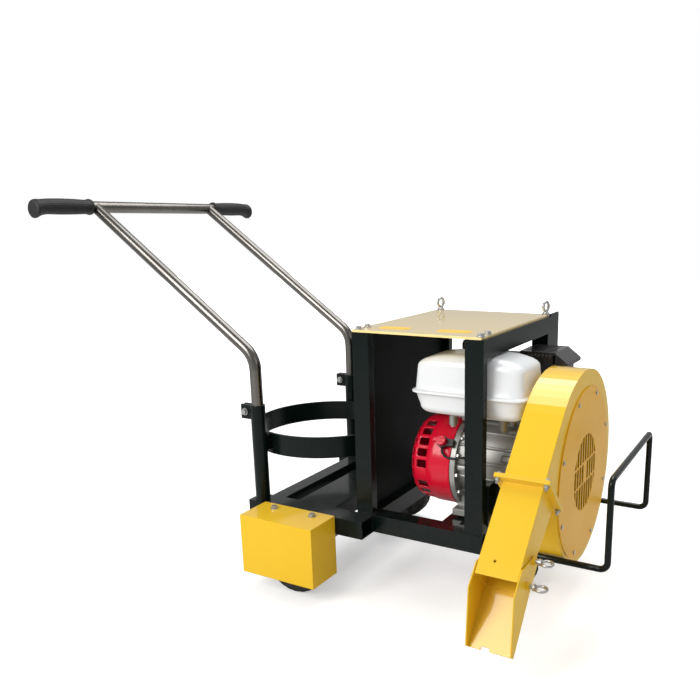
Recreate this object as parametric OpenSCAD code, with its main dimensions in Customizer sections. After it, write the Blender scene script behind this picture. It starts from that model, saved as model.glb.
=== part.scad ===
/* [Running gear] */
// Radius of the two rear wheels
wheel_r = 80; // [70:1:90]
// Width of a rear tyre
wheel_w = 40; // [32:1:46]
// Distance from the centre plane to the middle of a rear wheel
wheel_y = 250; // [246:1:256]
// Diameter of the rear axle
axle_d = 20; // [16:1:24]
// Radius of the front caster's wheel
caster_r = 50; // [45:1:54]

/* [Frame] */
// Height of the underside of the frame over the ground
frame_z = 138; // [134:1:142]
// Height of a rail's section
rail_h = 40; // [36:1:44]
// Width of a rail's section
rail_w = 50; // [44:1:54]
// Height of the cage over the underside of the frame
cage_h = 456; // [440:1:480]
// Length of the cage
cage_l = 305; // [300:1:312]
// Width of the cage under its top plate
cage_w = 417; // [410:1:430]

/* [Handle] */
// Distance between the two handle tubes
handle_gap = 396; // [390:1:400]
// Outer diameter of the handle tubes
tube_d = 27; // [25:0.5:28]
// Height of the crossbar over the ground
bar_z = 866; // [840:1:900]
// Length of a hand grip
grip_l = 155; // [130:1:165]

/* [Fan] */
// Largest radius of the spiral housing, at its outlet
scroll_r = 226; // [222:1:230]
// Smallest radius of the spiral housing, at its cut-off
cutoff_r = 185; // [185:1:190]
// Depth of the housing along the fan shaft
scroll_w = 79; // [70:1:84]
// Radius of the screwed cover disc
cover_r = 183; // [178:1:184]
// Radius of the impeller
impeller_r = 150; // [130:1:155]
// Angle of the outlet duct from level
outlet_angle = 45; // [43:1:47]

/* [Hidden] */
$fn = 48;
fit = 0.05;            // running clearance of a shaft in its bore
gap = 0.4;             // clearance between parts that only pass each other
e = 1;                 // overshoot of a cutting solid

yellow = [0.97, 0.78, 0.18];
frame_black = [0.10, 0.14, 0.13];
red = [0.80, 0.08, 0.16];
steel = [0.80, 0.80, 0.80];
zinc = [0.72, 0.73, 0.75];
castgrey = [0.62, 0.64, 0.66];
white = [0.95, 0.95, 0.94];
rubber = [0.06, 0.06, 0.06];

// The frame, measured from the ground under the rear axle's middle
frame_top = frame_z + rail_h;
cage_x0 = 112;                         // rear face of the cage
cage_x1 = cage_x0 + cage_l;            // front face of the cage
cage_y0 = -166;                        // near face of the cage
cage_y1 = cage_y0 + cage_w;            // far face of the cage
cage_top = frame_z + cage_h;           // top face of the top plate
plate_t = 5;                           // thickness of the top plate
post_x = 40;                           // post section along the machine
post_y = 20;                           // post section across the machine
rail_y = -cage_y0;                     // inner face of a sub-frame rail
sub_x0 = -163;                         // rear end of the sub-frame
sub_x1 = cage_x0 + 42;                 // front end of the near sub-frame rail
beam_x0 = -131;                        // rear cross beam
beam_x1 = -93;
saddle_x0 = -53;                       // wide beam over the axle
saddle_x1 = 50;
bracket_y = 176;                       // axle bracket, its inner face
bracket_t = 8;
tab_y = 40;                            // reach of the tabs that carry the wheel guards
wall = 2.5;                            // folded sheet of guards, scoop and housing
engine_z = frame_top + 6;              // sole of the engine
foot_x = [326, 401.5];                 // rows of engine foot bolts
foot_y = 81;
front_bar_x = cage_x1 - post_x;        // rear face of the cage's front cross bar
swivel_x = cage_x1 - post_x / 2;       // axis of the front caster
caster_trail = 35;
caster_w = 32;

guard_x0 = -112;                       // wheel guard box
guard_x1 = 84;
guard_y0 = rail_y + rail_w + 0.5;
guard_y1 = guard_y0 + 90;
guard_z0 = 44;
guard_z1 = frame_top + 3.5;

socket_d = 34;
socket_x = -134;
socket_y = handle_gap / 2;
socket_top = frame_top + 231;
lug_t = 6;
lug_l = 30;
lug_h = 34;
slit = 6;
clamp_bolt_d = 8;
bend_z = frame_z + 385;
bar_x = -618;
bend_r = 60;
tube_t = 2;
lean = atan2(socket_x - bar_x, bar_z - bend_z);   // lean of the upper tubes from upright
bar_half = socket_y + 12 + grip_l;                // half the length of the crossbar
bar_d = tube_d + 1.5;                             // the crossbar
grip_d = 37;
grip_end_d = 43;

hoop_r = 180;
hoop_t = 5;
hoop_h = 50;
hoop_tab = 28;                          // webs that weld the hoop to the sockets
hoop_x = -76;
guard_bolt_x = [-66, 40];               // bolts of the wheel guard, along the machine
hoop_z = 288;

// The fan and its outlet duct
fan_z = frame_z + 157;
fan_x0 = 500;                          // rear face of the housing
fan_x1 = fan_x0 + scroll_w;            // front face of the housing
cutoff_at = -50;                       // angle of the cut-off in the duct's own frame
turn = 270 - cutoff_at;
duct_depth = 84;
flange_s = 148;                        // joint faces of the flanges along the duct
flange_t = 4;
flange_rim = 16;
flange_side = 14;                      // how far the flanges stand out fore and aft
chute_end = 332;
chute_neck = 255;
chute_depth = 66;
eye_s = [277, 322];
eye_m = [38, 41];
eye_d = 8;
screw_r = 171;
screw_at = 22.5;
grille_r = 82;

// The engine
crank_z = fan_z;
drum_z = crank_z - 12;                 // the starter drum hangs a little low on the shaft
crank_d = 25;
case_x0 = 312;
case_x1 = 474;
case_r = 88;
drum_r = 104;
flywheel_r = 84;
switch_x = 291;
switch_lean = 35;                      // tilt of the stop switch up from level
drum_x0 = 209;
tilt = 25;                             // rise of the cylinder from level
bore_d = 68;
cyl_x = 398;
tank_x0 = 234;
tank_x1 = 496;
tank_y0 = -144;
tank_y1 = 8;
tank_z0 = 416;
tank_z1 = 548;
boss_x = [316, 430];
boss_l = 26;
seam_z = 466;

rod_d = 13;
rod_x = 668;
rod_y = [-133, 232];
rod_z = frame_z + 8;
rod_top = frame_z + 193;
rod_bend = 16;

// The origin is on the ground, in the middle of the whole machine's plan
scoop_tip_s = 442;
scoop_tip_m = 66;
far_y = bar_half + 4;
near_y = -scroll_r * cos(outlet_angle) - scoop_tip_s * sin(90 - outlet_angle)
         + scoop_tip_m * cos(outlet_angle);
rear_x = bar_x - grip_end_d / 2;
front_x = rod_x + rod_d / 2;
origin_x = -(rear_x + front_x) / 2;
origin_y = -(near_y + far_y) / 2;

module place() { translate([origin_x, origin_y, 0]) children(); }

// Local frame of the outlet duct: x runs with the air, y from the outer wall inwards,
// z forward along the machine, and the origin is where the outer wall leaves the spiral.
module in_duct() {
    translate([0, 0, fan_z]) rotate([90, 0, 90]) rotate([0, 0, 180 + outlet_angle])
        translate([0, -scroll_r, 0]) children();
}
// The same plane with its origin on the fan shaft
module in_fan() { translate([0, 0, fan_z]) rotate([90, 0, 90]) rotate([0, 0, 180 + outlet_angle]) children(); }
module along_x(x, r, l) { translate([x, 0, 0]) rotate([0, 90, 0]) cylinder(r = r, h = l); }
module both_sides() { children(); mirror([0, 1, 0]) children(); }
module box(x0, x1, y0, y1, z0, z1) {
    translate([x0, y0, z0]) cube([x1 - x0, y1 - y0, z1 - z0]);
}
// Hexagon-headed bolt whose head stands on z = 0 and whose shank runs down
module hex_bolt(d, l) {
    cylinder(d = 1.7 * d, h = 0.65 * d, $fn = 6);
    translate([0, 0, -l]) cylinder(d = d, h = l + 0.1);
}
module ring_of(n, r, start) {
    for (k = [0 : n - 1]) rotate([0, 0, start + 360 * k / n]) translate([r, 0, 0]) children();
}
// Hollow rectangular sections, one along x and one along y
module section_x(x0, x1, y0, y1, z0, z1, t) {
    difference() {
        box(x0, x1, y0, y1, z0, z1);
        box(x0 - e, x1 + e, y0 + t, y1 - t, z0 + t, z1 - t);
    }
}
module section_y(x0, x1, y0, y1, z0, z1, t) {
    difference() {
        box(x0, x1, y0, y1, z0, z1);
        box(x0 + t, x1 - t, y0 - e, y1 + e, z0 + t, z1 - t);
    }
}
module section_z(x0, x1, y0, y1, z0, z1, t) {
    difference() {
        box(x0, x1, y0, y1, z0, z1);
        box(x0 + t, x1 - t, y0 + t, y1 - t, z0 - e, z1 + e);
    }
}

// ---- frame ----
module subframe() color(frame_black) place() difference() {
    union() {
        section_x(sub_x0, sub_x1, -rail_y - rail_w, -rail_y, frame_z, frame_top, 3);
        section_x(sub_x0, cage_x0, rail_y, rail_y + rail_w, frame_z, frame_top, 3);
        section_y(beam_x0, beam_x1, -rail_y, rail_y, frame_z, frame_top, 3);
        section_y(saddle_x0, saddle_x1, -rail_y, rail_y, frame_z, frame_top, 3);
        mirror([0, 1, 0]) box(guard_bolt_x[0] - 14, guard_bolt_x[1] + 14, rail_y + rail_w,
                              rail_y + rail_w + tab_y, frame_top - 5, frame_top);
        both_sides() {
            box(-28, 28, bracket_y, bracket_y + bracket_t, wheel_r, frame_z);
            translate([0, bracket_y + bracket_t, wheel_r]) rotate([90, 0, 0])
                cylinder(r = 28, h = bracket_t);
        }
    }
    translate([0, bracket_y + 30, wheel_r]) rotate([90, 0, 0])
        cylinder(d = axle_d + 2 * fit, h = 2 * bracket_y + 60);
    for (x = guard_bolt_x)
        translate([x, -(rail_y + rail_w + 25), frame_top - 10]) cylinder(d = 8.6, h = 20);
}

module handle_sockets() color(frame_black) place() for (side = [-1, 1])
    translate([socket_x, side * socket_y, frame_top]) difference() {
        union() {
            cylinder(d = socket_d, h = socket_top - frame_top);
            translate([-socket_d / 2 - lug_l + 4, -slit / 2 - lug_t, socket_top - frame_top - lug_h])
                cube([lug_l, 2 * lug_t + slit, lug_h]);
        }
        translate([0, 0, 8]) cylinder(d = tube_d + 2 * gap, h = socket_top);
        translate([-socket_d - lug_l, -slit / 2, socket_top - frame_top - 60])
            cube([socket_d + lug_l, slit, 61]);
        translate([-socket_d / 2 - lug_l + 16, 30, socket_top - frame_top - lug_h / 2])
            rotate([90, 0, 0]) cylinder(d = clamp_bolt_d + 0.6, h = 60);
    }

module clamp_bolts() color(zinc) place() for (side = [-1, 1])
    translate([socket_x - socket_d / 2 - lug_l + 16, side * socket_y, socket_top - lug_h / 2]) {
        translate([0, -slit / 2 - lug_t - 1.6, 0]) rotate([90, 0, 0])
            cylinder(d = 1.7 * clamp_bolt_d, h = 5.5, $fn = 6);
        translate([0, -slit / 2 - lug_t, 0]) rotate([90, 0, 0]) cylinder(d = 17, h = 1.6);
        translate([0, slit / 2 + lug_t + 12, 0]) rotate([90, 0, 0])
            cylinder(d = clamp_bolt_d, h = slit + 2 * lug_t + 14);
        translate([0, slit / 2 + lug_t + 6.5, 0]) rotate([90, 0, 0])
            cylinder(d = 1.7 * clamp_bolt_d, h = 6.5, $fn = 6);
    }

module tank_hoop() color(frame_black) place() translate([hoop_x, 0, hoop_z]) difference() {
    union() {
        cylinder(r = hoop_r, h = hoop_h, $fn = 96);
        for (side = [-1, 1]) translate([socket_x - hoop_x - hoop_tab / 4, side * 174 - hoop_tab / 2, 8])
            cube([hoop_tab / 2, hoop_tab, hoop_h - 16]);
    }
    translate([0, 0, -e]) cylinder(r = hoop_r - hoop_t, h = hoop_h + 2 * e, $fn = 96);
    for (side = [-1, 1]) translate([socket_x - hoop_x, side * socket_y, -e])
        cylinder(d = socket_d, h = hoop_h + 2 * e);
}

module cage_frame() color(frame_black) place() difference() {
    union() {
        // base rails and cross bars
        section_x(cage_x0, cage_x1, cage_y0, cage_y0 + rail_w - 10, frame_z, frame_top, 3);
        section_x(cage_x0, cage_x1, cage_y1 - 40, cage_y1, frame_z, frame_top, 3);
        section_y(cage_x0, cage_x0 + post_x, cage_y0 + rail_w - 10, cage_y1 - 40, frame_z, frame_top, 3);
        section_y(foot_x[0] - 20, foot_x[0] + 20, cage_y0 + rail_w - 10, cage_y1 - 40,
                  frame_z, frame_top, 3);
        section_y(front_bar_x, cage_x1, cage_y0 + rail_w - 10, cage_y1 - 40, frame_z, frame_top, 3);
        // four posts
        for (x = [cage_x0, front_bar_x], y = [cage_y0, cage_y1 - post_y])
            section_z(x, x + post_x, y, y + post_y, frame_top, cage_top - plate_t, 2);
        // top rails, front and rear, and the wide far front upright
        section_y(cage_x1 - 20, cage_x1, cage_y0 + post_y, cage_y1 - post_y,
                  cage_top - plate_t - rail_h, cage_top - plate_t, 2);
        section_y(cage_x0, cage_x0 + 20, cage_y0 + post_y, cage_y1 - post_y,
                  cage_top - plate_t - rail_h, cage_top - plate_t, 2);
        box(cage_x1 - 5, cage_x1, cage_y1, cage_y1 + 62, frame_z, cage_top);
    }
    for (x = foot_x, y = [-foot_y, foot_y]) translate([x, y, frame_z - e]) cylinder(d = 8.6, h = rail_h + 2 * e);
    translate([swivel_x, 0, 0]) caster_holes(frame_z - e, rail_h / 2);
    plate_holes(cage_top - plate_t - 15, 20);
}

// Places of the bolts and the eyes that hold the top plate
bolt_at = [[cage_x0 + 12, cage_y0 + 10], [cage_x0 + 12, cage_y0 + 45],
           [cage_x1 - 10, cage_y0 + 10], [cage_x1 - 10, cage_y0 + 45]];
eye_at = [[cage_x0 + 12, cage_y1 - 10], [cage_x1 - 10, cage_y1 - 10]];
module plate_holes(z, h) {
    for (p = concat(bolt_at, eye_at)) translate([p[0], p[1], z]) cylinder(d = 8.6, h = h);
}
module top_plate() color(yellow) place() difference() {
    box(cage_x0, cage_x1 - 5.2, cage_y0, cage_y1, cage_top - plate_t, cage_top);
    plate_holes(cage_top - plate_t - e, plate_t + 2 * e);
}
module plate_bolts() color(zinc) place() for (p = bolt_at) translate([p[0], p[1], cage_top]) {
    cylinder(d = 17, h = 1.6);
    translate([0, 0, 1.6]) hex_bolt(8, 12);
}
module eye_ring(d_eye, d_wire) {
    translate([0, 0, d_eye / 2 + 8]) rotate([90, 0, 0])
        rotate_extrude() translate([d_eye / 2, 0]) circle(d = d_wire, $fn = 24);
    cylinder(d = 18, h = 4);
    translate([0, 0, 3]) cylinder(d1 = 14, d2 = 10, h = 7);
}
module lifting_eyes() color(zinc) place() for (p = eye_at) translate([p[0], p[1], cage_top]) {
    rotate([0, 0, 75]) eye_ring(22, 7);
    translate([0, 0, -12]) cylinder(d = 8, h = 13);
}
module rear_panel() color(frame_black) place()
    box(cage_x0 + 20.4, cage_x0 + 23.4, cage_y0 + post_y + 0.2, cage_y1 - post_y - 0.2,
        frame_top + 0.2, cage_top - plate_t - 0.2);

module wheel_guard() difference() {
    box(guard_x0, guard_x1, guard_y0, guard_y1, guard_z0, guard_z1);
    box(guard_x0 + wall, guard_x1 - wall, guard_y0 - e, guard_y1 - wall, guard_z0 - e, guard_z1 - wall);
    for (x = guard_bolt_x) translate([x, rail_y + rail_w + 25, guard_z1 - 10]) cylinder(d = 8.6, h = 20);
}
module near_wheel_guard() color(yellow) place() mirror([0, 1, 0]) wheel_guard();
module guard_bolts() color(zinc) place() mirror([0, 1, 0]) for (x = guard_bolt_x)
    translate([x, rail_y + rail_w + 25, guard_z1]) {
        cylinder(d = 17, h = 1.6);
        translate([0, 0, 1.6]) hex_bolt(8, 14);
    }

// ---- wheels ----
module at_axle(y) { translate([0, y, wheel_r]) rotate([90, 0, 0]) children(); }
module rear_axle() color(zinc) place() at_axle(wheel_y + wheel_w / 2 + 12)
    cylinder(d = axle_d, h = 2 * wheel_y + wheel_w + 24);
module axle_retainers() color(zinc) place() both_sides() {
    at_axle(wheel_y + wheel_w / 2 + 5) difference() {
        cylinder(d = 32, h = 3);
        translate([0, 0, -e]) cylinder(d = axle_d + 0.1, h = 6);
    }
    at_axle(wheel_y + wheel_w / 2 + 10) difference() {
        cylinder(d = 30, h = 5, $fn = 6);
        translate([0, 0, -e]) cylinder(d = axle_d + 0.1, h = 8);
    }
}
module tyre(r, w, rim) {
    rotate_extrude() intersection() {
        translate([rim, -w / 2]) square([r - rim, w]);
        union() {
            translate([rim, -w / 2]) square([r - rim - 8, w]);
            for (s = [-1, 1]) translate([r - 8, s * (w / 2 - 8)]) circle(r = 8, $fn = 32);
            translate([r - 9, -w / 2 + 8]) square([9, w - 16]);
        }
    }
}
module hub(rim, w, bore) {
    difference() {
        union() {
            cylinder(r = rim - 0.01, h = w * 0.5, center = true);
            cylinder(r = bore / 2 + 9, h = w, center = true);
        }
        cylinder(d = bore + 2 * fit, h = w + 4, center = true);
        for (s = [-1, 1]) translate([0, 0, s * w * 0.25]) rotate_extrude()
            translate([bore / 2 + 12, -3]) square([rim - bore / 2 - 18, 6]);
    }
}
module near_tyre() color(rubber) place() at_axle(-wheel_y) tyre(wheel_r, wheel_w, 52);
module far_tyre() color(rubber) place() at_axle(wheel_y) tyre(wheel_r, wheel_w, 52);
module near_hub() color(castgrey) place() at_axle(-wheel_y) hub(52, wheel_w + 2, axle_d);
module far_hub() color(castgrey) place() at_axle(wheel_y) hub(52, wheel_w + 2, axle_d);

// ---- front caster ----
module caster_plate() color(zinc) place() translate([swivel_x, 0, 0]) difference() {
    union() {
        translate([-20, -41, frame_z - 5]) cube([40, 82, 5]);
        translate([0, 0, frame_z - 12]) cylinder(d = 52, h = 7);
        translate([0, 0, frame_z - 26]) cylinder(d = 12, h = 15);
    }
    caster_holes(frame_z - 6, 7);
    translate([0, 0, frame_z - 15]) difference() { cylinder(d = 60, h = 3); cylinder(d = 12, h = 3); }
}
module caster_holes(z, h) {
    for (dx = [-13, 13], dy = [-34, 34]) translate([dx, dy, z]) cylinder(d = 6.6, h = h);
}
module caster_bolts() color(zinc) place() for (dx = [-13, 13], dy = [-34, 34])
    translate([swivel_x + dx, dy, frame_z - 5]) {
        rotate([180, 0, 0]) cylinder(d = 11, h = 4, $fn = 6);
        translate([0, 0, -0.1]) cylinder(d = 6, h = 12);
    }
module caster_fork() color(zinc) place() translate([swivel_x, 0, 0]) difference() {
    union() {
        translate([0, 0, frame_z - 18]) cylinder(d = 50, h = 5.6);
        for (s = [-1, 1]) hull() {
            translate([0, s * (caster_w / 2 + 5), frame_z - 18]) rotate([90, 0, 0])
                cylinder(r = 14, h = 4, center = true, $fn = 32);
            translate([caster_trail, s * (caster_w / 2 + 5), caster_r]) rotate([90, 0, 0])
                cylinder(r = 13, h = 4, center = true, $fn = 32);
        }
        translate([-14, -caster_w / 2 - 7, frame_z - 22]) cube([28, caster_w + 14, 4.5]);
    }
    translate([0, 0, frame_z - 30]) cylinder(d = 12 + 2 * fit, h = 40);
    translate([-40, -60, frame_z - 12.4]) cube([100, 120, 30]);
    translate([caster_trail, 40, caster_r]) rotate([90, 0, 0]) cylinder(d = 10.1, h = 80);
}
module caster_axle() color(zinc) place()
    translate([swivel_x + caster_trail, caster_w / 2 + 12, caster_r]) rotate([90, 0, 0]) {
        cylinder(d = 10, h = caster_w + 24);
        cylinder(d = 17, h = 4.9, $fn = 6);
        translate([0, 0, caster_w + 19.1]) cylinder(d = 17, h = 4.9, $fn = 6);
    }
module at_caster() { translate([swivel_x + caster_trail, 0, caster_r]) rotate([90, 0, 0]) children(); }
module caster_tyre() color(rubber) place() at_caster() tyre(caster_r, caster_w, 34);
module caster_hub() color(castgrey) place() at_caster() hub(34, caster_w + 1, 10);

// ---- front guard rod: two bars under the fan, joined by a hoop in front of it ----
module guard_rod() color(frame_black) place() {
    for (y = rod_y) {
        translate([cage_x1, y, rod_z]) rotate([0, 90, 0])
            cylinder(d = rod_d, h = rod_x - rod_bend - cage_x1);
        translate([rod_x - rod_bend, y, rod_z + rod_bend]) rotate([90, 0, 0]) rotate([0, 0, -90])
            rotate_extrude(angle = 90) translate([rod_bend, 0]) circle(d = rod_d, $fn = 24);
        translate([rod_x, y, rod_z + rod_bend]) cylinder(d = rod_d, h = rod_top - rod_z - 2 * rod_bend);
    }
    translate([rod_x, rod_y[0] + rod_bend, rod_top]) rotate([-90, 0, 0])
        cylinder(d = rod_d, h = rod_y[1] - rod_y[0] - 2 * rod_bend);
    for (s = [0, 1]) translate([rod_x, rod_y[s] + (s == 0 ? rod_bend : -rod_bend), rod_top - rod_bend])
        rotate([90, 0, 90]) rotate([0, 0, s == 0 ? 90 : 0])
            rotate_extrude(angle = 90) translate([rod_bend, 0]) circle(d = rod_d, $fn = 24);
}

// ---- fan housing ----
steps = 62;
function spiral_r(a) = cutoff_r + (scroll_r - cutoff_r) * (a - cutoff_at) / turn;
function spiral(inset) = [for (k = [0 : steps]) let (a = cutoff_at + turn * k / steps, r = spiral_r(a) - inset)
    [r * cos(a), r * sin(a)]];
module scroll_outline(inset) polygon(concat(spiral(inset),
    [[flange_s, -scroll_r + inset], [flange_s, -scroll_r + duct_depth - inset]]));
module flange_plate(s, t) {
    difference() {
        translate([s, -flange_rim, fan_x0 - flange_side])
            cube([t, duct_depth + 2 * flange_rim, scroll_w + 2 * flange_side]);
        translate([s - e, wall, fan_x0 + wall]) cube([t + 2 * e, duct_depth - 2 * wall, scroll_w - 2 * wall]);
        flange_holes(s - e, t + 2 * e);
    }
}
module flange_holes(s, l) {
    for (m = [-flange_rim / 2, duct_depth + flange_rim / 2], x = [fan_x0 - flange_side / 2, fan_x1 + flange_side / 2])
        translate([s, m, x]) rotate([0, 90, 0]) cylinder(d = 6.6, h = l);
}
module volute_shell() color(yellow) place() difference() {
    union() {
        in_fan() translate([0, 0, fan_x0]) difference() {
            linear_extrude(scroll_w) scroll_outline(0);
            translate([0, 0, wall]) linear_extrude(scroll_w - 2 * wall) scroll_outline(wall);
        }
        in_duct() flange_plate(flange_s - flange_t, flange_t);
    }
    in_duct() translate([flange_s - 20, wall, fan_x0 + wall])
        cube([30, duct_depth - 2 * wall, scroll_w - 2 * wall]);
    translate([0, 0, fan_z]) along_x(fan_x1 - wall - e, cover_r - 23, 10);
    translate([0, 0, fan_z]) along_x(fan_x0 - e, 40, 10);
    in_fan() ring_of(8, screw_r, screw_at) translate([0, 0, fan_x1 - wall - e]) cylinder(d = 5.2, h = 10, $fn = 24);
    in_fan() ring_of(4, 52, 45) translate([0, 0, fan_x0 - e]) cylinder(d = 8.6, h = 10);
}
module fan_cover() color(yellow) place() difference() {
    translate([0, 0, fan_z]) along_x(fan_x1, cover_r, wall);
    in_fan() ring_of(8, screw_r, screw_at) translate([0, 0, fan_x1 - e]) cylinder(d = 5.2, h = 10, $fn = 24);
    // upright slots inside a circle, left solid across the middle band and its two ribs
    translate([0, 0, fan_z]) rotate([90, 0, 90]) translate([0, 0, fan_x1 - e]) linear_extrude(wall + 2 * e)
        intersection() {
            circle(r = grille_r);
            for (k = [-4 : 4]) for (zone = [[24, 90], [-20, 20], [-90, -24]])
                if (abs(zone[0]) != 20 || abs(k) != 0)
                    translate([k * 18 - 6, zone[0]]) square([12, zone[1] - zone[0]]);
        }
}
module cover_screws() color(zinc) place() in_fan() ring_of(8, screw_r, screw_at)
    translate([0, 0, fan_x1 + wall]) {
        cylinder(d = 9, h = 2.6, $fn = 24);
        translate([0, 0, -8]) cylinder(d = 5, h = 8.1, $fn = 24);
    }
module impeller() color(castgrey) place() translate([0, 0, fan_z]) rotate([90, 0, 90]) difference() {
    translate([0, 0, fan_x0 + 9]) union() {
        cylinder(r = impeller_r, h = 3);
        cylinder(r = 26, h = 46);
        for (k = [0 : 9]) rotate([0, 0, 36 * k]) translate([30, 0, 2.5]) rotate([0, 0, 14])
            translate([0, -1.5, 0]) cube([impeller_r - 36, 3, 52]);
    }
    translate([0, 0, fan_x0]) cylinder(d = 19 + 0.02, h = 80);
}
module impeller_bolt() color(zinc) place() translate([0, 0, fan_z]) {
    along_x(fan_x0 + 55, 15, 3);
    translate([fan_x0 + 58, 0, 0]) rotate([0, 90, 0]) cylinder(d = 14, h = 6, $fn = 6);
}
module flange_bolts() color(zinc) place() in_duct()
    for (m = [-flange_rim / 2, duct_depth + flange_rim / 2],
         x = [fan_x0 - flange_side / 2, fan_x1 + flange_side / 2]) translate([0, m, x]) {
        translate([flange_s - flange_t - 4.2, 0, 0]) rotate([0, 90, 0]) cylinder(d = 11, h = 4.2, $fn = 6);
        translate([flange_s - flange_t - 0.1, 0, 0]) rotate([0, 90, 0]) cylinder(d = 6, h = 2 * flange_t + 10);
        translate([flange_s + flange_t, 0, 0]) rotate([0, 90, 0]) cylinder(d = 11, h = 5, $fn = 6);
    }
function chute_side(i) = [[flange_s, i], [chute_end, i], [chute_end, chute_depth - i],
    [chute_neck, chute_depth - i], [flange_s, duct_depth - i]];
module chute() color(yellow) place() in_duct() difference() {
    union() {
        translate([0, 0, fan_x0]) linear_extrude(scroll_w) polygon(chute_side(0));
        flange_plate(flange_s, flange_t);
    }
    translate([0, 0, fan_x0 + wall]) linear_extrude(scroll_w - 2 * wall) polygon(
        concat([[flange_s - e, wall], [chute_end + e, wall], [chute_end + e, chute_depth - wall]],
               [[chute_neck, chute_depth - wall], [flange_s - e, duct_depth - wall]]));
    translate([304, -e, fan_x0 + 30]) rotate([-90, 0, 0]) cylinder(d = 5, h = 2 * e + wall, $fn = 24);
}
// Open scoop: a floor and two cheeks that slide on the chute
cheek = [[312, -2], [359, -2], [scoop_tip_s, scoop_tip_m], [440, 78], [330, 70.5], [262, 70.5], [266, 44]];
module scoop() color(yellow) place() in_duct() difference() {
    union() {
        for (x = [fan_x0 - 0.8 - wall, fan_x1 + 0.8]) translate([0, 0, x]) linear_extrude(wall) polygon(cheek);
        translate([0, 0, fan_x0 - 0.8 - wall]) linear_extrude(scroll_w + 1.6 + 2 * wall)
            polygon([[262, 68], [330, 68], [440, 75.5], [440, 78], [330, 70.5], [262, 70.5]]);
        for (k = [0, 1]) translate([eye_s[k], eye_m[k], fan_x1 + 0.8 + wall]) cylinder(d = 15, h = 6.5, $fn = 6);
    }
    for (k = [0, 1]) translate([eye_s[k], eye_m[k], fan_x1]) cylinder(d = eye_d + 2 * fit, h = 20);
    translate([434, 60, fan_x0 + 22]) cube([10, 30, 16]);
}
module eye_screw(k) in_duct() translate([eye_s[k], eye_m[k], fan_x1 + 0.8]) {
    cylinder(d = eye_d, h = 16);
    translate([0, 0, 14]) cylinder(d = 13, h = 5);
    rotate([0, 0, -outlet_angle]) translate([0, 0, 29]) rotate([90, 0, 0])
        rotate_extrude() translate([10, 0]) circle(d = 5.5, $fn = 24);
}
module upper_eye_screw() color(zinc) place() eye_screw(0);
module lower_eye_screw() color(zinc) place() eye_screw(1);
module volute_brackets() color(frame_black) place() {
    for (y = [cage_y0 + post_y, cage_y1 - post_y - 80]) {
        box(cage_x1, cage_x1 + 5, y, y + (y < 0 ? 46 : 60), frame_top + 20, frame_top + 105);
        box(cage_x1 + 5, fan_x0, y + (y < 0 ? 41 : 52), y + (y < 0 ? 46 : 57), frame_top + 28, frame_top + 98);
    }
}

// ---- handle ----
bend_cut = bend_r * tan(lean / 2);
bend_swell = 0.6;
bend_lap = 3;
slope_l = norm([socket_x - bar_x, bar_z - bend_z]) - bend_cut;
// A leg bent from one tube; the bend is a hair fatter than the straights that run into it.
module handle_leg(y, d, low, reach) translate([socket_x, y, 0]) {
    translate([0, 0, low]) cylinder(d = d, h = bend_z - bend_cut - low + bend_lap);
    translate([-bend_r, 0, bend_z - bend_cut]) rotate([90, 0, 0]) rotate_extrude(angle = lean)
        translate([bend_r, 0]) circle(d = d + bend_swell);
    translate([0, 0, bend_z]) rotate([0, -lean, 0]) translate([0, 0, bend_cut - bend_lap])
        cylinder(d = d, h = reach + bend_lap);
}
// The crossbar is a size thicker than the legs, which are welded to its underside.
module crossbar(d, half) translate([bar_x, half, bar_z]) rotate([90, 0, 0]) cylinder(d = d, h = 2 * half);
module handle_bar() color(steel) place() difference() {
    union() {
        for (side = [-1, 1]) handle_leg(side * socket_y, tube_d, frame_top + 10, slope_l);
        crossbar(bar_d, bar_half);
    }
    for (side = [-1, 1]) handle_leg(side * socket_y, tube_d - 2 * tube_t, frame_top + 9, slope_l - bar_d);
    crossbar(bar_d - 2 * tube_t, bar_half + e);
}
module grip() translate([bar_x, bar_half + 4, bar_z]) rotate([90, 0, 0]) difference() {
    union() {
        cylinder(d = grip_d, h = grip_l + 2);
        rotate_extrude() translate([0, 0]) hull() {
            square([grip_end_d / 2 - 4, 12]);
            translate([grip_end_d / 2 - 6, 6]) circle(r = 6, $fn = 24);
        }
    }
    translate([0, 0, 4]) cylinder(d = bar_d + 0.1, h = grip_l + 10);
}
module near_grip() color(rubber) place() mirror([0, 1, 0]) grip();
module far_grip() color(rubber) place() grip();

// ---- engine ----
module crankcase() color(castgrey) place() difference() {
    union() {
        translate([0, 0, drum_z]) along_x(case_x0, drum_r - 1, 12);
        translate([0, 0, crank_z]) along_x(case_x0, case_r, case_x1 - case_x0 - 12);
        translate([0, 0, crank_z]) along_x(case_x1 - 13, 74, 13);
        box(case_x0 + 4, case_x1 - 30, -foot_y - 14, foot_y + 14, engine_z, engine_z + 14);
        box(case_x0 + 4, case_x1 - 30, -66, 66, engine_z, crank_z);
        box(case_x0 + 4, case_x1 - 30, 0, 74, crank_z - 20, crank_z + 58);
        translate([370, -78, engine_z + 62]) rotate([68, 0, 0]) cylinder(d = 30, h = 24);
    }
    translate([0, 0, crank_z]) along_x(case_x0 + 8, case_r - 8, case_x1 - case_x0 - 28);
    translate([0, 0, crank_z]) along_x(case_x0 - e, crank_d / 2 + fit, 200);
    for (x = foot_x, y = [-foot_y, foot_y]) translate([x, y, engine_z - e]) cylinder(d = 8.6, h = 20);
    translate([370, -78, engine_z + 62]) rotate([68, 0, 0]) translate([0, 0, 8]) cylinder(d = 20, h = 20);
}
module fan_adapter() color(castgrey) place() translate([0, 0, fan_z]) difference() {
    along_x(case_x1, 66, fan_x0 - case_x1);
    along_x(case_x1 - e, crank_d / 2 + 6, 40);
}
module lean_to() { translate([0, 0, crank_z]) rotate([tilt - 90, 0, 0]) children(); }
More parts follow.
